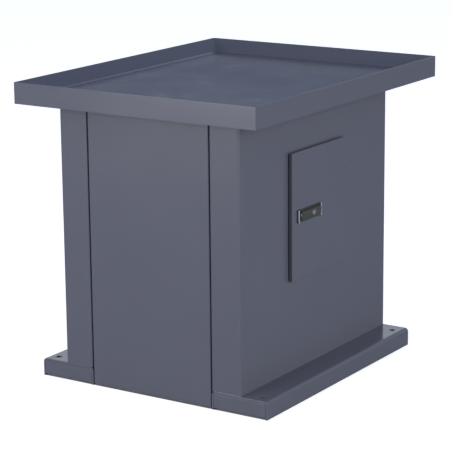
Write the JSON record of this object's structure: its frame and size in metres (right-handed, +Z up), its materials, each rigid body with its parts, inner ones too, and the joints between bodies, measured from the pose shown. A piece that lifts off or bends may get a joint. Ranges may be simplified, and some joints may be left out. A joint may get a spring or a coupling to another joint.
{
  "type": "machine stand cabinet",
  "caption": "Sheet-steel machine stand: folded cabinet under a sloped-rim chip tray, two bolt-down base channels, side door with a flush turn latch.",
  "frame": {"origin": "on the floor, under the middle of the tray", "axes": "+X to the right along the front, +Y towards the rear, +Z up; the door is on the +X side"},
  "size_m": [0.648, 0.824, 0.711],
  "materials": {
    "painted_steel": "semi-gloss blue-grey enamel",
    "zinc_plated_steel": "zinc plated",
    "bright_chrome": "polished",
    "dark_nickel": "satin, dark",
    "brass": "satin",
    "black_rubber": "matt"
  },
  "bodies": {
    "stand": {"chip_tray": "painted_steel", "tray_studs": "zinc_plated_steel", "tray_washers": "zinc_plated_steel", "tray_nuts": "zinc_plated_steel", "left_side_shell": "painted_steel", "right_side_shell": "painted_steel", "front_panel": "painted_steel", "rear_panel": "painted_steel", "front_right_seam_seal": "black_rubber", "front_left_seam_seal": "black_rubber", "rear_right_seam_seal": "black_rubber", "rear_left_seam_seal": "black_rubber", "front_seam_bolts": "zinc_plated_steel", "rear_seam_bolts": "zinc_plated_steel", "front_seam_nuts": "zinc_plated_steel", "rear_seam_nuts": "zinc_plated_steel", "right_base_channel": "painted_steel", "left_base_channel": "painted_steel", "front_right_end_cap": "painted_steel", "front_left_end_cap": "painted_steel", "rear_right_end_cap": "painted_steel", "rear_left_end_cap": "painted_steel", "front_base_tie": "painted_steel", "rear_base_tie": "painted_steel", "bottom_pan": "painted_steel", "right_top_rail": "painted_steel", "left_top_rail": "painted_steel", "front_top_rail": "painted_steel", "rear_top_rail": "painted_steel", "front_mounting_bar": "painted_steel", "rear_mounting_bar": "painted_steel", "opening_lip": "painted_steel", "lower_hinge_frame_barrel": "painted_steel", "upper_hinge_frame_barrel": "painted_steel", "lower_hinge_pin": "zinc_plated_steel", "upper_hinge_pin": "zinc_plated_steel", "lower_hinge_washer": "brass", "upper_hinge_washer": "brass"},
    "door": {"door_pan": "painted_steel", "door_seal": "black_rubber", "lower_hinge_door_barrel": "painted_steel", "upper_hinge_door_barrel": "painted_steel", "latch_plate": "bright_chrome", "latch_nut": "zinc_plated_steel", "latch_screw": "zinc_plated_steel"},
    "lever": {"latch_lever": "dark_nickel", "latch_rotor": "dark_nickel", "latch_cam": "zinc_plated_steel", "cam_screw": "zinc_plated_steel", "lock_barrel": "bright_chrome"},
    "key_plug": {"lock_plug": "bright_chrome"},
    "locking_pin": {"lock_pin": "zinc_plated_steel"}
  },
  "joints": [
    {"name": "door_swing", "type": "hinge", "parent": "stand", "child": "door", "pos_m": [0.2473, 0.0923, 0.409], "axis": [0, 0, 1], "range_deg": [0, 110]},
    {"name": "lever_turn", "type": "hinge", "parent": "door", "child": "lever", "pos_m": [0.2595, -0.113, 0.409], "axis": [-1, 0, 0], "range_deg": [0, 90]},
    {"name": "key_turn", "type": "hinge", "parent": "lever", "child": "key_plug", "pos_m": [0.2612, -0.065, 0.409], "axis": [-1, 0, 0], "range_deg": [0, 90]},
    {"name": "pin_slide", "type": "slide", "parent": "lever", "child": "locking_pin", "axis": [-1, 0, 0], "range_m": [0, 0.0018]}
  ],
  "couplings": [
    {"joint": "key_turn", "follows": "pin_slide", "rad_per_m": 872.66}
  ]
}
